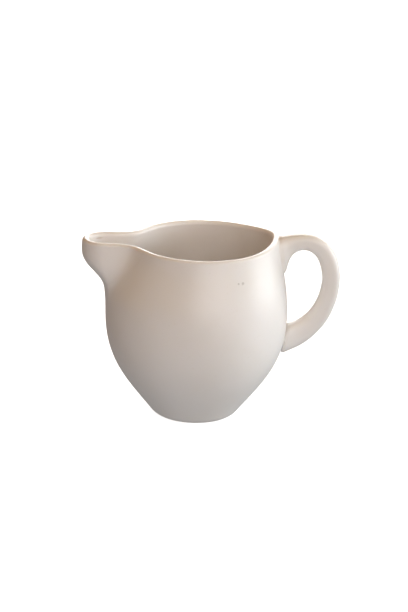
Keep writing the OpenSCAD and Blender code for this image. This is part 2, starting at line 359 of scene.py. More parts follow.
def wall_place_group(size):
    """Group that gives the outer wall's point at a turn from the spout and a climb up the outline."""
    inputs = {"Turn": number(0.0), "Climb": number(0.0)}
    inputs.update({label: number(size[label]) for label in WALL_SIZES})
    tree, given, output = new_tree("Jug wall point", inputs, "NodeSocketVector", "Place")
    around = given["Turn"]
    away = around.math("ABSOLUTE")
    radius, height = outline_field(given, given["Climb"])

    # plan of the spout at the rim: two parallel sides closed by a round nose
    nose_centre = given["spout_reach"] - given["spout_half_width"]
    sine = away.math("SINE")
    cosine = away.math("COSINE")
    across = nose_centre * sine
    half = given["spout_half_width"]
    nose = nose_centre * cosine + (half * half - across * across).math("MAXIMUM", 0).math("SQRT")
    side = half / sine.math("MAXIMUM", LEAST_SINE)
    on_nose = across.math("LESS_THAN", half) * (nose * cosine).math("GREATER_THAN", nose_centre)
    beak = mix(side, nose, on_nose) * cosine.math("GREATER_THAN", 0)
    pinch = given["throat_pinch"] * ((away / PINCH_SPREAD) ** 2 * -1).math("EXPONENT")
    pinched = given["mouth_radius"] - pinch
    reach = round_max(pinched, beak, given["throat_round"]) - pinched

    # the spout grows out of the wall with height as a logistic step
    def logistic(z):
        return 1 / (((z - given["chin_height"]) / given["chin_softness"] * -1).math("EXPONENT") + 1)

    growth = logistic(height) / logistic(given["rim_height"])
    pinch_weight = smooth(height, PINCH_START, given["rim_height"])
    rise_weight = smooth(height, RISE_START, given["rim_height"])
    to_handle = ((math.pi - away) / HANDLE_RISE_SPREAD) ** 2
    to_spout = (away / SPOUT_RISE_SPREAD) ** 2
    rise = given["handle_side_rise"] * (to_handle * -1).math("EXPONENT")
    rise = rise + given["spout_side_rise"] * (to_spout * -1).math("EXPONENT")

    r = radius - pinch * pinch_weight + reach * growth
    x = r * around.math("COSINE") * -1
    y = r * around.math("SINE") * -1
    plug(tree, gather(tree, x, y, height + rise * rise_weight), output)
    return tree


# below this climb the inside is shaded by the mesh's own normals
FLOOR_FADE = 0.55
# an edge with a mean outer_skin mark above this belongs to the outer skin
OUTER_EDGE = 0.6
BODY, SEAM, SPOUT = 0, 1, 2


def move_points(tree, mesh, place, where=None):
    """Move each point, or those that where picks, to its place."""
    plugs = {"Geometry": mesh, "Position": place}
    if where is not None:
        plugs["Selection"] = where
    return field(tree, "GeometryNodeSetPosition", plugs=plugs)


def round_grid(tree, sides, rows):
    """Tube of faces, its angle round the tube, and its row number counted from the bottom."""
    plugs = {"Vertices": sides, "Side Segments": rows, "Radius": 1.0, "Depth": 1.0}
    grid = field(tree, "GeometryNodeMeshCylinder", plugs=plugs, fill_type="NONE")
    x, y, z = split_up(field(tree, "GeometryNodeInputPosition"))
    return grid, y.math("ARCTAN2", x), (z + 0.5) * rows


def jug_wall_tree(size):
    """Tree that makes the bowl's wall and floor, and keeps the piece that it is asked for."""
    place_group = wall_place_group(size)
    inputs = {label: number(size[label]) for label in WALL_SIZES}
    for label in ("columns", "floor_rows", "wall_rows", "rim_rows", "notch_angle", "seam_angle"):
        inputs[label] = number(size[label])
    for label in ("shoulder_climb", "seam_climb", "spout_climb"):
        inputs[label] = number(1.0)
    inputs["piece"] = number(BODY)
    inputs["material"] = ("NodeSocketMaterial", None)
    tree, given, output = new_tree("Jug wall", inputs, "NodeSocketGeometry", "Mesh")

    rows = given["floor_rows"] + given["wall_rows"] + given["rim_rows"]
    grid, angle, row = round_grid(tree, given["columns"], rows)
    # the columns stand closer together at the spout
    turn = angle - angle.math("SINE") * SPOUT_CROWDING
    away = turn.math("ABSOLUTE")
    from_middle = (row / given["floor_rows"]).math("MINIMUM", 1)
    past_floor = (row - given["floor_rows"]).math("MAXIMUM", 0)
    climb = (past_floor / given["wall_rows"]).math("MINIMUM", 1) * given["shoulder_climb"]
    over_rim = ((past_floor - given["wall_rows"]) / given["rim_rows"]).math("MAXIMUM", 0)
    bend = over_rim * (math.pi / 2)

    # columns beside the spout draw together down the wall, so its luted edge tapers
    height = outline_field(given, climb)[1]
    beside_spout = 1 - smooth(away, *TAPER_TURNS)
    below_rim = 1 - smooth(height, NOTCH_BOTTOM, given["rim_height"])
    drawn = turn * (1 - beside_spout * below_rim * NOTCH_TAPER)

    def place(turn_step, climb_step):
        point = add_node(tree, "GeometryNodeGroup", node_tree=place_group)
        for label in WALL_SIZES:
            plug(tree, given[label], point.inputs[label])
        plug(tree, drawn + turn_step, point.inputs["Turn"])
        plug(tree, climb + climb_step, point.inputs["Climb"])
        return Field(tree, point.outputs["Place"])

    round_step = place(NORMAL_STEP, 0) - place(-NORMAL_STEP, 0)
    up_step = place(0, NORMAL_STEP) - place(0, -NORMAL_STEP)
    normal = round_step.vector("CROSS_PRODUCT", up_step).vector("NORMALIZE")
    upright = gather(tree, 0.0, 0.0, 1.0)
    up = (upright - normal * split_up(normal)[2]).vector("NORMALIZE")

    # both skins are half a wall from the middle of the wall, and meet over the rim
    half_wall = given["wall"] * 0.5
    middle = place(0, 0) - normal * half_wall
    outward = normal * bend.math("COSINE")
    upward = up * bend.math("SINE")
    outer = middle + (upward + outward) * half_wall
    inner = middle + (upward - outward) * half_wall
    floor_top = given["foot_height"] + given["floor_thickness"]
    x, y, z = split_up(inner)
    lifted = round_max(z, floor_top, FLOOR_ROUND)
    dished = mix(floor_top, lifted, from_middle * from_middle)
    inner = gather(tree, x * from_middle, y * from_middle, dished)
    x, y, z = split_up(outer)
    outer = gather(tree, x * from_middle, y * from_middle, z)

    grid = store(tree, grid, "turn", away, "FLOAT")
    grid = store(tree, grid, "climb", climb, "FLOAT")
    grid = store(tree, grid, "across_wall", inner)
    outer_skin = store(tree, grid, "outer_skin", 1.0, "FLOAT")
    under_floor = from_middle.math("LESS_THAN", 0.999)
    facing = switch(tree, under_floor, outward + upward, upright * -1)
    outer_skin = store(tree, outer_skin, "facing", facing)
    outer_skin = move_points(tree, outer_skin, outer)
    inner_skin = store(tree, grid, "facing", upward - outward)
    inner_skin = move_points(tree, inner_skin, inner)
    inner_skin = field(tree, "GeometryNodeFlipFaces", plugs={"Mesh": inner_skin})
    mesh_normal = field(tree, "GeometryNodeInputNormal")
    near_floor = stored(tree, "climb", "FLOAT").math("LESS_THAN", FLOOR_FADE)
    inner_skin = store(tree, inner_skin, "facing", mesh_normal, where=near_floor)
    both = add_node(tree, "GeometryNodeJoinGeometry")
    plug(tree, inner_skin, both.inputs[0])
    plug(tree, outer_skin, both.inputs[0])
    whole = weld(tree, Field(tree, both.outputs[0]))

    # a cell counts 0 in the bowl, 1 in the slip seam and 2 in the spout
    turn = stored(tree, "turn", "FLOAT")
    climb = stored(tree, "climb", "FLOAT")
    in_notch = turn.math("LESS_THAN", given["notch_angle"] + given["seam_angle"])
    in_notch = in_notch * climb.math("GREATER_THAN", given["seam_climb"])
    in_spout = turn.math("LESS_THAN", given["notch_angle"])
    in_spout = in_spout * climb.math("GREATER_THAN", given["spout_climb"])
    wanted = (in_notch + in_spout).math("COMPARE", given["piece"], 0.5)
    plugs = {"Geometry": whole, "Selection": wanted}
    part = field(tree, "GeometryNodeSeparateGeometry", plugs=plugs, domain="FACE")

    # the cut edges of the outer skin are drawn through the wall to the inner one
    neighbours = field(tree, "GeometryNodeInputMeshEdgeNeighbors")
    open_edge = neighbours.math("LESS_THAN", 1.5)
    open_edge = open_edge * stored(tree, "outer_skin", "FLOAT").math("GREATER_THAN", OUTER_EDGE)
    plugs = {"Mesh": part, "Selection": open_edge, "Offset Scale": 0.0}
    drawn_in = add_node(tree, "GeometryNodeExtrudeMesh", plugs, mode="EDGES")
    far_edge = Field(tree, drawn_in.outputs["Top"])
    part = Field(tree, drawn_in.outputs["Mesh"])
    part = move_points(tree, part, stored(tree, "across_wall"), far_edge)
    part = store(tree, part, "facing", (0.0, 0.0, 0.0), where=far_edge)
    finish_tree(tree, part, given["material"], output)
    return tree


# ---- Making plain pieces from trees and points ----


def finish_piece(name, mesh, node):
    """Put a mesh in the scene in place of its CAD node."""
    piece = bpy.data.objects.new(name, mesh)
    bpy.context.collection.objects.link(piece)
    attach(piece, "root")
    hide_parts(node)
    return piece


def run_tree(name, tree, values, base=None):
    """Plain mesh that a tree gives for these input values."""
    maker = bpy.data.objects.new(name + "_maker", base or bpy.data.meshes.new(name + "_base"))
    bpy.context.collection.objects.link(maker)
    modifier = maker.modifiers.new("Shape", "NODES")
    modifier.node_group = tree
    for item in tree.interface.items_tree:
        if item.in_out == "INPUT" and item.name in values:
            modifier[item.identifier] = values[item.name]
    evaluated = maker.evaluated_get(bpy.context.evaluated_depsgraph_get())
    mesh = bpy.data.meshes.new_from_object(evaluated)
    mesh.name = name
    bpy.data.objects.remove(maker)
    if not mesh.polygons:
        raise RuntimeError(f"{name} came out empty")
    return mesh


def keep_facing(mesh):
    """Shade with the facing that was worked out for the whole wall, so that no seam shows."""
    count = len(mesh.vertices)
    facing = np.zeros(count * 3, np.float32)
    mesh.attributes["facing"].data.foreach_get("vector", facing)
    facing = facing.reshape(-1, 3)
    facing /= np.maximum(np.linalg.norm(facing, axis=1, keepdims=True), 1e-9)
    for name in ("facing", "turn", "climb", "across_wall", "outer_skin"):
        mesh.attributes.remove(mesh.attributes[name])
    mesh.normals_split_custom_set_from_vertices(facing.tolist())


def make_wall_piece(name, node, which, material):
    """Make the bowl, the seam or the spout from the wall that they share."""
    settings = bpy.context.scene.jug_sizes
    size = {key: getattr(settings, key) for key in JugSizes.__annotations__}
    tree = bpy.data.node_groups.get("Jug wall") or jug_wall_tree(size)
    values = dict(size)
    values["shoulder_climb"] = climb_to(size, size["rim_height"] - size["wall"] / 2)
    values["seam_climb"] = climb_to(size, NOTCH_BOTTOM)
    values["spout_climb"] = climb_to(size, NOTCH_BOTTOM + SEAM_WIDTH)
    values["piece"] = which
    values["material"] = material
    mesh = run_tree(name, tree, values)
    keep_facing(mesh)
    return finish_piece(name, mesh, node)


# ---- Handle ----

# the bar's side view in millimetres, from the rim to the lower joint: a point of its outer edge
# as X and Z, the point across the bar from it, and a scale for the width
HANDLE_STATIONS = (
    (39.9, 89.5, 42.6, 73.2, 1.30), (42.2, 89.9, 43.4, 76.4, 1.14), (44.6, 90.3, 44.4, 79.1, 1.05),
    (47.2, 90.6, 46.2, 81.4, 1.00), (50.2, 90.8, 49.4, 82.9, 0.98), (53.5, 90.6, 52.4, 82.8, 0.98),
    (57.7, 89.5, 55.3, 81.2, 0.98), (62.4, 86.0, 57.2, 78.8, 0.99), (66.3, 79.8, 58.8, 74.8, 1.00),
    (68.3, 71.6, 59.8, 69.6, 1.00), (68.1, 64.5, 59.6, 65.0, 1.00), (66.7, 57.3, 58.1, 59.0, 1.00),
    (63.1, 48.6, 55.0, 53.1, 1.00), (57.3, 41.1, 51.0, 48.9, 1.02), (50.6, 35.7, 47.7, 46.9, 1.08),
    (43.0, 32.0, 45.2, 45.8, 1.22),
)
HANDLE_SIDES = 64
RINGS_BETWEEN = 8
# an extra ring stands this share of a station from each end
END_HOLD = 0.02


def spline(a, b, c, d, t):
    return b + t / 2 * (c - a + t * (2 * a - 5 * b + 4 * c - d + t * (3 * (b - c) + d - a)))


def bar_ring(place):
    """Middle, half height and width scale of the handle's bar at a place from 0 to the last station."""
    last = len(HANDLE_STATIONS) - 1
    k = min(int(place), last - 1)
    near = [HANDLE_STATIONS[min(max(k + i, 0), last)] for i in (-1, 0, 1, 2)]
    ax, az, bx, bz, width = [spline(*values, place - k) for values in zip(*near)]
    outer = Vector((ax, 0, az)) * MM
    inner = Vector((bx, 0, bz)) * MM
    return (outer + inner) / 2, (outer - inner) / 2, width


def squared_circle(k):
    """Across and up, from -1 to 1, of the bar's k-th side, in the order of the tree's columns."""
    power = bpy.context.scene.jug_sizes.handle_squareness
    angle = 2 * math.pi * k / HANDLE_SIDES
    c, s = math.cos(angle), math.sin(angle)
    m = (abs(c) ** power + abs(s) ** power) ** (1 / power)
    return c / m, s / m


def bar_section(place):
    """Points round the bar."""
    middle, half, width = bar_ring(place)
    side = Vector((0, bpy.context.scene.jug_sizes.handle_half_width * width, 0))
    rounds = [squared_circle(k) for k in range(HANDLE_SIDES)]
    return [middle + half * up + side * across for across, up in rounds]


def handle_rail():
    """Points down the middle of the bar that carry its half height and its width."""
    last = len(HANDLE_STATIONS) - 1
    places = {k / RINGS_BETWEEN for k in range(last * RINGS_BETWEEN + 1)}
    places = sorted(places | {END_HOLD, last - END_HOLD})
    rings = [bar_ring(place) for place in places]
    rail = bpy.data.meshes.new("handle_rail")
    rail.from_pydata([ring[0] for ring in rings], [], [])
    half = rail.attributes.new("half_height", "FLOAT_VECTOR", "POINT")
    half.data.foreach_set("vector", [c for ring in rings for c in ring[1]])
    width = rail.attributes.new("width", "FLOAT", "POINT")
    width.data.foreach_set("value", [ring[2] for ring in rings])
    return rail


def handle_tree():
    """Tree that sets a rounded section on each point of a rail and closes the ends."""
    inputs = {
        "Rail": ("NodeSocketGeometry", None),
        "sides": number(HANDLE_SIDES),
        "handle_half_width": number(4.9 * MM),
        "handle_squareness": number(3.2),
        "material": ("NodeSocketMaterial", None),
    }
    tree, given, output = new_tree("Handle bar", inputs, "NodeSocketGeometry", "Mesh")
    plugs = {"Geometry": given["Rail"]}
    rings = field(tree, "GeometryNodeAttributeDomainSize", "Point Count", plugs, component="MESH")
    grid, angle, row = round_grid(tree, given["sides"], rings + 1)
    ring = (row - 1).math("MAXIMUM", 0).math("MINIMUM", rings - 1).math("ROUND")

    def rail_value(value, kind):
        plugs = {"Geometry": given["Rail"], "Value": value, "Index": ring}
        return field(tree, "GeometryNodeSampleIndex", plugs=plugs, data_type=kind)

    middle = rail_value(field(tree, "GeometryNodeInputPosition"), "FLOAT_VECTOR")
    half = rail_value(stored(tree, "half_height"), "FLOAT_VECTOR")
    width = rail_value(stored(tree, "width", "FLOAT"), "FLOAT")
    is_end = (row - rings * 0.5 - 0.5).math("ABSOLUTE").math("GREATER_THAN", rings * 0.5 + 0.25)
    power = given["handle_squareness"]
    c, s = angle.math("COSINE"), angle.math("SINE")
    m = (c.math("ABSOLUTE") ** power + s.math("ABSOLUTE") ** power) ** (1 / power)
    open_ring = (1 - is_end) / m
    sideways = gather(tree, 0.0, c * open_ring * width * given["handle_half_width"], 0.0)
    place = middle + half * (s * open_ring) + sideways
    finish_tree(tree, move_points(tree, grid, place), given["material"], output)
    return tree


# ---- Slip joints between the bar and the bowl ----

FILLET_ROWS = 14
PATCH_ROWS = 6
# the fillet's edge and the patch that closes it lie this deep in the bowl's wall
SUNK = 0.05 * MM
PATCH_SUNK = 0.4 * MM
# how far the fillet runs on along the bar and along the bowl, as shares of its reach
BAR_PULL = 0.4
BOWL_PULL = 0.3
# the rays that find the bowl's outside start this far from its axis
RAY_START = 90 * MM
# folds steeper than this are not shaded round
FOLD = math.radians(50)
# height of the footprint's lowest and highest places on the bowl, and its half turn
UPPER_FOOTPRINT = (70.9 * MM, 89.0 * MM, math.radians(10.6))
LOWER_FOOTPRINT = (30.2 * MM, 47.2 * MM, math.radians(9.3))


def wall_hit(bowl, turn, height):
    """Point and normal of the bowl's outside, a turn away from the handle and at a height."""
    outward = Vector((math.cos(turn), math.sin(turn), 0))
    point, normal, _, _ = bowl.ray_cast(outward * RAY_START + Vector((0, 0, height)), -outward)
    if point is None:
        raise RuntimeError("the footprint of a slip joint misses the bowl")
    return point, normal


def slip_joint_mesh(name, bowl, at, into, footprint):
    """Closed fillet from the end of the bar to a rounded footprint on the bowl."""
    low, high, half_turn = footprint
    collar = bar_section(at)
    before = bar_section(at - into * END_HOLD)
    centre, centre_normal = wall_hit(bowl, 0, (low + high) / 2)

    def footprint_place(k, share):
        across, up = squared_circle(k)
        height = (low + high) / 2 + (high - low) / 2 * up * share
        return wall_hit(bowl, half_turn * across * share, height)

    rows = [collar]
    edges = []
    for k in range(HANDLE_SIDES):
        foot, normal = footprint_place(k, 1)
        away = foot - centre
        away = (away - normal * away.dot(normal)).normalized()
        start = collar[k]
        reach = (foot - start).length
        along = (start - before[k]).normalized()
        end = foot - normal * SUNK
        edges.append(
            (start, start + along * reach * BAR_PULL, foot - away * reach * BOWL_PULL, end)
        )
    for j in range(1, FILLET_ROWS + 1):
        rows.append([bezier(*edge, j / FILLET_ROWS) for edge in edges])
    for j in range(PATCH_ROWS - 1, 0, -1):
        ring = []
        for k in range(HANDLE_SIDES):
            point, normal = footprint_place(k, j / PATCH_ROWS)
            ring.append(point - normal * PATCH_SUNK)
        rows.append(ring)
    points = [point for row in rows for point in row]
    middle_of_bar = sum(collar, Vector()) / HANDLE_SIDES
    points += [middle_of_bar, centre - centre_normal * PATCH_SUNK]
    first_cap, last_cap = len(points) - 2, len(points) - 1
    faces = []
    last = (len(rows) - 1) * HANDLE_SIDES
    for k in range(HANDLE_SIDES):
        following = (k + 1) % HANDLE_SIDES
        faces.append((k, following, first_cap))
        faces.append((last + following, last + k, last_cap))
        for j in range(len(rows) - 1):
            a = j * HANDLE_SIDES
            b = a + HANDLE_SIDES
            faces.append((a + k, b + k, b + following, a + following))
    mesh = bpy.data.meshes.new(name)
    mesh.from_pydata(points, [], faces)
    face_outwards(mesh)
    mesh.shade_smooth()
    mesh.set_sharp_from_angle(angle=FOLD)
    return mesh


def face_outwards(mesh):
    """Weld a closed mesh and turn all its faces outwards."""
    loose = bmesh.new()
    loose.from_mesh(mesh)
    bmesh.ops.remove_doubles(loose, verts=loose.verts, dist=WELD)
    bmesh.ops.recalc_face_normals(loose, faces=loose.faces)
    if loose.calc_volume(signed=True) < 0:
        bmesh.ops.reverse_faces(loose, faces=loose.faces)
    loose.to_mesh(mesh)
    loose.free()


# ---- Foot ring ----

FOOT_SIDES = 192
FLANK_PULL = 2.6 * MM
FLANK_STEPS = 12
INNER_LEAN = 0.8 * MM
LAND_EDGE = 0.35 * MM
LAND_EDGE_STEPS = 6
# extra points this close to a corner keep it crisp under smooth shading
CORNER_HOLD = 0.04 * MM


def bend_points(start, corner, end, steps, first=0):
    """Points of a bend from start to end that a corner pulls."""
    shares = [k / steps for k in range(first, steps + 1)]
    return [start * (1 - t) ** 2 + corner * 2 * t * (1 - t) + end * t * t for t in shares]


def rounded_corner(before, corner, after):
    """Points of a small bend that rounds a corner of the foot's land."""
    start = corner + (before - corner).normalized() * LAND_EDGE
    end = corner + (after - corner).normalized() * LAND_EDGE
    return bend_points(start, corner, end, LAND_EDGE_STEPS)


def foot_outline(sizes):
    """Closed outline of the foot's section, as radius and height, clockwise from the recess."""
    top = Vector((sizes.foot_top_radius, sizes.foot_height))
    bend = top - Vector((math.cos(FOOT_SLOPE), math.sin(FOOT_SLOPE))) * FLANK_PULL
    land_outer = Vector((sizes.foot_radius, 0))
    land_inner = Vector((sizes.foot_radius - sizes.foot_land, 0))
    recess_top = Vector((land_inner.x - INNER_LEAN, sizes.foot_height))
    flank = bend_points(land_outer, bend, top, FLANK_STEPS, first=2)
    flank.insert(-1, top + (flank[-2] - top).normalized() * CORNER_HOLD)
    outline = rounded_corner(recess_top, land_inner, land_outer)
    outline += rounded_corner(land_inner, land_outer, flank[0])
    outline += flank
    outline.append(top - Vector((CORNER_HOLD, 0)))
    outline.append(recess_top + Vector((CORNER_HOLD, 0)))
    outline.append(recess_top)
    outline.append(recess_top + Vector((0, -CORNER_HOLD)))
    return outline


def turned_ring_tree():
    """Tree that turns a closed outline, given as points in the plane of X and Z, about Z."""
    inputs = {
        "Outline": ("NodeSocketGeometry", None),
        "sides": number(FOOT_SIDES),
        "material": ("NodeSocketMaterial", None),
    }
    tree, given, output = new_tree("Turned ring", inputs, "NodeSocketGeometry", "Mesh")
    plugs = {"Geometry": given["Outline"]}
    count = field(tree, "GeometryNodeAttributeDomainSize", "Point Count", plugs, component="MESH")
    grid, angle, row = round_grid(tree, given["sides"], count)
    index = row.math("ROUND").math("MODULO", count)
    position = field(tree, "GeometryNodeInputPosition")
    plugs = {"Geometry": given["Outline"], "Value": position, "Index": index}
    point = field(tree, "GeometryNodeSampleIndex", plugs=plugs, data_type="FLOAT_VECTOR")
    radius, _, height = split_up(point)
    place = gather(tree, radius * angle.math("COSINE"), radius * angle.math("SINE"), height)
    finish_tree(tree, move_points(tree, grid, place), given["material"], output)
    return tree


# ---- Finishes ----

# centres and radii in millimetres, and how strongly each kind of mark tints the glaze
IRON_SPECKS = (((20.9, -34.2, 75.4), 0.9), ((18.9, -35.4, 75.5), 0.6))
# centre and radii of a thin brown mark on the spout's lip
LIP_MARK = ((-48.2, 8.0, 84.2), (3.0, 1.8, 0.35))
SPECK_STRENGTH = 0.3
LIP_MARK_STRENGTH = 0.4
# scales of the patterns, in waves a metre, and depths of the reliefs
DRIFT_SCALE = 28.0
FLECK_SCALE = 900.0
WAVE_SCALE, WAVE_DEPTH = 55.0, 0.35 * MM
SKIN_SCALE, SKIN_DEPTH = 420.0, 0.02 * MM
PINHOLE_SCALE, PINHOLE_DEPTH = 260.0, 0.05 * MM
BLOT_SCALE = 2200.0
CLAY_SCALE, CLAY_DEPTH = 3000.0, 0.06 * MM
# heights on the foot between which the glaze begins
GLAZE_LINE = (0.45 * MM, 0.62 * MM)


def shader_tree(name):
    material = bpy.data.materials.new(name)
    material.use_nodes = True
    tree = material.node_tree
    tree.nodes.clear()
    shader = add_node(tree, "ShaderNodeBsdfPrincipled")
    ends = add_node(tree, "ShaderNodeOutputMaterial")
    tree.links.new(shader.outputs[0], ends.inputs["Surface"])
    where = field(tree, "ShaderNodeTexCoord", "Object")
    return material, tree, shader, where


def noise(tree, where, scale, detail=2.0, rough=0.5):
    plugs = {"Vector": where, "Scale": scale, "Detail": detail, "Roughness": rough}
    return field(tree, "ShaderNodeTexNoise", "Fac", plugs)


def blend_colours(tree, a, b, weight):
    mixer = add_node(tree, "ShaderNodeMix", data_type="RGBA")
    plug(tree, weight, mixer.inputs["Factor"])
    for label, value in (("A", a), ("B", b)):
        slot = [s for s in mixer.inputs if s.name == label and s.type == "RGBA"][0]
        plug(tree, value if isinstance(value, Field) else (*value, 1.0), slot)
    return Field(tree, [s for s in mixer.outputs if s.type == "RGBA"][0])


def bump(tree, height, distance, strength=1.0, under=None):
    plugs = {"Height": height, "Distance": distance, "Strength": strength}
    if under is not None:
        plugs["Normal"] = under
    return field(tree, "ShaderNodeBump", plugs=plugs)


def glaze_colour(tree, where, finish):
    """Off-white that drifts a little where the glaze lies thicker."""
    drift = smooth(noise(tree, where, DRIFT_SCALE, 3.0), 0.35, 0.7)
    tint = blend_colours(tree, finish.glaze, finish.pooled_glaze, drift * 0.32)
    fine = smooth(noise(tree, where, FLECK_SCALE, 1.0), 0.66, 0.74)
    return blend_colours(tree, tint, finish.pooled_glaze, fine * 0.25)


def glaze_relief(tree, where):
    """Slow waves of a hand-finished glaze, with a few pinholes."""
    waves = bump(tree, noise(tree, where, WAVE_SCALE, 1.5), WAVE_DEPTH, 0.5)
    skin = bump(tree, noise(tree, where, SKIN_SCALE, 2.0), SKIN_DEPTH, 0.5, waves)
    plugs = {"Vector": where, "Scale": PINHOLE_SCALE, "Randomness": 1.0}
    cell = field(tree, "ShaderNodeTexVoronoi", "Distance", plugs)
    sparse = smooth(noise(tree, where, 70.0, 0.0), 0.66, 0.72)
    pinhole = (1 - smooth(cell, 0.03, 0.09)) * sparse
    return bump(tree, 1 - pinhole, PINHOLE_DEPTH, 0.6, skin)


def set_glaze(tree, shader, where, tint):
    """Give a shader the glaze's tint, relief and uneven gloss."""
    roughness = bpy.context.scene.jug_finish.glaze_roughness
    plug(tree, tint, shader.inputs["Base Color"])
    plug(tree, glaze_relief(tree, where), shader.inputs["Normal"])
    patchy = noise(tree, where, 120.0, 2.0)
    plug(tree, patchy * 0.08 + (roughness - 0.04), shader.inputs["Roughness"])
    shader.inputs["IOR"].default_value = 1.5
    shader.inputs["Coat Weight"].default_value = 0.25
    shader.inputs["Coat Roughness"].default_value = 0.3
    shader.inputs["Subsurface Weight"].default_value = 0.1
    shader.inputs["Subsurface Radius"].default_value = (1.0, 0.75, 0.5)
    shader.inputs["Subsurface Scale"].default_value = 1.2 * MM


def blot(tree, where, centre, radii):
    """1 in an uneven small blot and 0 around it."""
    centre = Vector(centre) * MM
    offset = where - gather(tree, *centre)
    scale = gather(tree, *[1 / (r * MM) for r in radii])
    reach = offset.vector("MULTIPLY", scale).vector("LENGTH", answer="Value")
    return 1 - smooth(reach + (noise(tree, where, BLOT_SCALE, 2.0) - 0.5) * 0.9, 0.55, 1.05)


def glazed_porcelain():
    """Satin glaze with iron specks under the rim and a thin brown mark on the spout's lip."""
    finish = bpy.context.scene.jug_finish
    material, tree, shader, where = shader_tree("glazed_porcelain")
    tint = glaze_colour(tree, where, finish)
    for centre, radius in IRON_SPECKS:
        spot = blot(tree, where, centre, (radius,) * 3)
        tint = blend_colours(tree, tint, finish.speck, spot * SPECK_STRENGTH)
    # a thin brown mark on the spout's lip, mixed into the glaze's colour
    lip_mark_weight = blot(tree, where, *LIP_MARK) * LIP_MARK_STRENGTH
    tint = blend_colours(tree, tint, finish.stain, lip_mark_weight)
    set_glaze(tree, shader, where, tint)
    return material


def glazed_slip():
    """The same glaze where it has pooled over luting slip."""
    finish = bpy.context.scene.jug_finish
    material, tree, shader, where = shader_tree("glazed_slip")
    pooled = smooth(noise(tree, where, 90.0, 2.0), 0.3, 0.7)
    tint = glaze_colour(tree, where, finish)
    set_glaze(tree, shader, where, blend_colours(tree, tint, finish.pooled_glaze, pooled * 0.3))
    return material


def bare_foot():
    """Glazed flank that ends in an uneven line above the wiped, unglazed land of the foot."""
    finish = bpy.context.scene.jug_finish
    material, tree, shader, where = shader_tree("bare_foot")
    height = split_up(where)[2]
    line = height + (noise(tree, where, 240.0, 3.0) - 0.5) * (0.5 * MM)
    glazed = smooth(line, *GLAZE_LINE)
    grain = noise(tree, where, CLAY_SCALE, 3.0, 0.7)
    darker = Vector(finish.biscuit) * 0.82
    clay = blend_colours(tree, finish.biscuit, tuple(darker), grain)
    tint = blend_colours(tree, clay, glaze_colour(tree, where, finish), glazed)
    plug(tree, tint, shader.inputs["Base Color"])
    smoothness = mix(0.85, finish.glaze_roughness, glazed)
    plug(tree, smoothness, shader.inputs["Roughness"])
    relief = bump(tree, grain * (1 - glazed) + glazed * 1.4, CLAY_DEPTH, 0.8)
    plug(tree, relief, shader.inputs["Normal"])
    return material


def finish_named(name, make):
    return bpy.data.materials.get(name) or make()


# ---- Operators ----


class JUG_OT_bowl(bpy.types.Operator):
    """Make the bowl with its pinched throat and its floor"""

    bl_idname = "jug.bowl"
    bl_label = "Bowl"

    def execute(self, context):
        glaze = finish_named("glazed_porcelain", glazed_porcelain)
        make_wall_piece("bowl", "body", BODY, glaze)
        return {"FINISHED"}


class JUG_OT_spout(bpy.types.Operator):
    """Make the pouring spout and the slip seam that lutes it to the bowl"""

    bl_idname = "jug.spout"
    bl_label = "Spout and seam"

    def execute(self, context):
        glaze = finish_named("glazed_porcelain", glazed_porcelain)
        slip = finish_named("glazed_slip", glazed_slip)
        make_wall_piece("pouring_spout", "spout", SPOUT, glaze)
        make_wall_piece("spout_seam", "spout_slip_seam", SEAM, slip)
        return {"FINISHED"}


class JUG_OT_handle(bpy.types.Operator):
    """Make the loop handle"""

    bl_idname = "jug.handle"
    bl_label = "Handle"

    def execute(self, context):
        sizes = context.scene.jug_sizes
        values = {
            "sides": HANDLE_SIDES,
            "handle_half_width": sizes.handle_half_width,
            "handle_squareness": sizes.handle_squareness,
            "material": finish_named("glazed_porcelain", glazed_porcelain),
        }
        mesh = run_tree("loop_handle", handle_tree(), values, handle_rail())
        mesh.set_sharp_from_angle(angle=FOLD)
        finish_piece("loop_handle", mesh, "handle")
        return {"FINISHED"}


class JUG_OT_joints(bpy.types.Operator):
    """Make the two slip joints that fix the handle to the bowl"""

    bl_idname = "jug.joints"
    bl_label = "Handle joints"

    def execute(self, context):
        bowl = bpy.data.objects.get("bowl")
        if bowl is None:
            raise RuntimeError("make the bowl before the handle's joints")
        surface = BVHTree.FromPolygons(
            [v.co for v in bowl.data.vertices], [p.vertices for p in bowl.data.polygons]
        )
        slip = finish_named("glazed_slip", glazed_slip)
        last = len(HANDLE_STATIONS) - 1
        for name, node, at, into, footprint in (
            ("upper_joint", "upper_handle_slip_joint", 0, -1, UPPER_FOOTPRINT),
            ("lower_joint", "lower_handle_slip_joint", last, 1, LOWER_FOOTPRINT),
        ):
            mesh = slip_joint_mesh(name, surface, at, into, footprint)
            mesh.materials.append(slip)
            finish_piece(name, mesh, node)
        return {"FINISHED"}


class JUG_OT_foot(bpy.types.Operator):
    """Make the turned foot ring"""

    bl_idname = "jug.foot"
    bl_label = "Foot ring"

    def execute(self, context):
        sizes = context.scene.jug_sizes
        outline = bpy.data.meshes.new("foot_outline")
        outline.from_pydata([(p.x, 0, p.y) for p in foot_outline(sizes)], [], [])
        values = {"sides": FOOT_SIDES, "material": finish_named("bare_foot", bare_foot)}
        mesh = run_tree("foot", turned_ring_tree(), values, outline)
        face_outwards(mesh)
        finish_piece("foot", mesh, "foot_ring")
        return {"FINISHED"}


WARM_ROOM = (0.245, 0.12, 0.04)
BELOW_TABLE = (0.337, 0.337, 0.343)
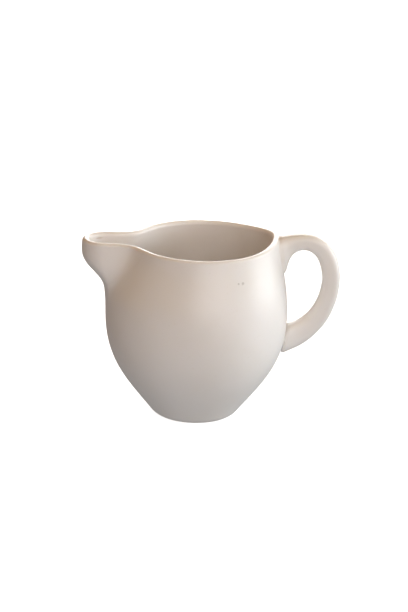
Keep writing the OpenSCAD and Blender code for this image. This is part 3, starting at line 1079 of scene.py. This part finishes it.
# a light's name, place, width and height, watts and tint
LIGHTS = (
    ("window", (1.35, 0.15, 0.35), (1.0, 1.0), 18.0, (0.87, 0.955, 1.0)),
    ("room_front", (0.4, -1.4, 0.5), (1.3, 1.0), 10.4, (1.0, 1.0, 1.0)),
    ("room_back", (0.3, 1.5, 0.5), (1.2, 1.0), 19.0, (0.95, 0.985, 1.0)),
    ("ceiling", (-0.1, -0.1, 1.3), (0.3, 0.3), 1.9, (1.0, 0.93, 0.7)),
)
LIGHTS_AIM = Vector((0.0, 0.0, 0.045))
TABLE_HALF = 4.0
TABLE_WHITE = (0.9, 0.9, 0.9, 1)
TABLE_GLOW = 0.8
CAMERA_AIM = Vector((3.62, 3.0, 52.6)) * MM
CAMERA_DISTANCE = 1.5
CAMERA_ELEVATION = math.radians(17.08)
CAMERA_YAW = math.radians(0.93)
CAMERA_ROLL = math.radians(1.48)
CAMERA_LENS = 274.8


def area_light(name, place, size, power, tint):
    light = bpy.data.lights.new(name, "AREA")
    light.shape = "RECTANGLE"
    light.size, light.size_y = size
    light.energy = power
    light.color = tint
    lamp = bpy.data.objects.new(name, light)
    lamp.location = place
    lamp.rotation_euler = (LIGHTS_AIM - Vector(place)).to_track_quat("-Z", "Y").to_euler()
    bpy.context.collection.objects.link(lamp)


class JUG_OT_stage(bpy.types.Operator):
    """Set the white table, the lights, the world and the camera"""

    bl_idname = "jug.stage"
    bl_label = "Stage"

    def execute(self, context):
        make_table()
        for light in LIGHTS:
            area_light(*light)
        make_world()
        make_camera()
        context.scene.view_settings.view_transform = "Standard"
        return {"FINISHED"}


def make_table():
    mesh = bpy.data.meshes.new("table")
    corners = [(x * TABLE_HALF, y * TABLE_HALF, 0) for x, y in ((-1, -1), (1, -1), (1, 1), (-1, 1))]
    mesh.from_pydata(corners, [], [(0, 1, 2, 3)])
    table = bpy.data.objects.new("table", mesh)
    bpy.context.collection.objects.link(table)
    material = bpy.data.materials.new("white_table")
    material.use_nodes = True
    shader = material.node_tree.nodes["Principled BSDF"]
    shader.inputs["Base Color"].default_value = TABLE_WHITE
    shader.inputs["Roughness"].default_value = 0.9
    shader.inputs["Specular IOR Level"].default_value = 0.0
    shader.inputs["Emission Color"].default_value = (1, 1, 1, 1)
    shader.inputs["Emission Strength"].default_value = TABLE_GLOW
    mesh.materials.append(material)
    # the room below the table lights the jug, so the white of the table doesn't flood it
    table.visible_diffuse = False
    table.visible_glossy = False


def make_world():
    """White to look at, but a dim warm room above and a paler one below to light the jug."""
    world = bpy.data.worlds.new("white_room")
    bpy.context.scene.world = world
    world.use_nodes = True
    tree = world.node_tree
    tree.nodes.clear()
    ends = add_node(tree, "ShaderNodeOutputWorld")
    height = split_up(field(tree, "ShaderNodeTexCoord", "Generated"))[2]
    tint = blend_colours(tree, BELOW_TABLE, WARM_ROOM, smooth(height, -0.15, 0.15))
    seen = add_node(tree, "ShaderNodeBackground", {"Color": (1, 1, 1, 1), "Strength": 1.0})
    dim = add_node(tree, "ShaderNodeBackground", {"Color": tint, "Strength": 1.0})
    looked_at = field(tree, "ShaderNodeLightPath", "Is Camera Ray")
    either = add_node(tree, "ShaderNodeMixShader", {0: looked_at})
    tree.links.new(dim.outputs[0], either.inputs[1])
    tree.links.new(seen.outputs[0], either.inputs[2])
    tree.links.new(either.outputs[0], ends.inputs["Surface"])


def make_camera():
    level = math.cos(CAMERA_ELEVATION)
    forward = Vector(
        (math.sin(CAMERA_YAW) * level, math.cos(CAMERA_YAW) * level, -math.sin(CAMERA_ELEVATION))
    )
    lens = bpy.data.cameras.new("camera")
    lens.sensor_fit = "HORIZONTAL"
    lens.sensor_width = 36
    lens.lens = CAMERA_LENS
    lens.clip_end = 20
    camera = bpy.data.objects.new("camera", lens)
    facing = forward.to_track_quat("-Z", "Y").to_matrix() @ Matrix.Rotation(CAMERA_ROLL, 3, "Z")
    camera.matrix_world = Matrix.Translation(CAMERA_AIM - forward * CAMERA_DISTANCE) @ facing.to_4x4()
    bpy.context.collection.objects.link(camera)
    bpy.context.scene.camera = camera


class JUG_PT_panel(bpy.types.Panel):
    """Buttons that make the jug's pieces, and the sizes and colours they read"""

    bl_idname = "JUG_PT_panel"
    bl_label = "Cream Jug"
    bl_space_type = "VIEW_3D"
    bl_region_type = "UI"
    bl_category = "Cream Jug"

    def draw(self, context):
        column = self.layout.column()
        for operator in OPERATORS:
            column.operator(operator.bl_idname)
        for group in (context.scene.jug_sizes, context.scene.jug_finish):
            for name in type(group).__annotations__:
                column.prop(group, name)


OPERATORS = (JUG_OT_bowl, JUG_OT_spout, JUG_OT_handle, JUG_OT_joints, JUG_OT_foot, JUG_OT_stage)
CLASSES = (JugSizes, JugFinish, *OPERATORS, JUG_PT_panel)


def register():
    for each in CLASSES:
        bpy.utils.register_class(each)
    bpy.types.Scene.jug_sizes = bpy.props.PointerProperty(type=JugSizes)
    bpy.types.Scene.jug_finish = bpy.props.PointerProperty(type=JugFinish)


def unregister():
    del bpy.types.Scene.jug_finish
    del bpy.types.Scene.jug_sizes
    for each in reversed(CLASSES):
        bpy.utils.unregister_class(each)


def main():
    register()
    bpy.ops.jug.bowl()
    bpy.ops.jug.spout()
    bpy.ops.jug.handle()
    bpy.ops.jug.joints()
    bpy.ops.jug.foot()
    bpy.ops.jug.stage()


if __name__ == "__main__":
    main()
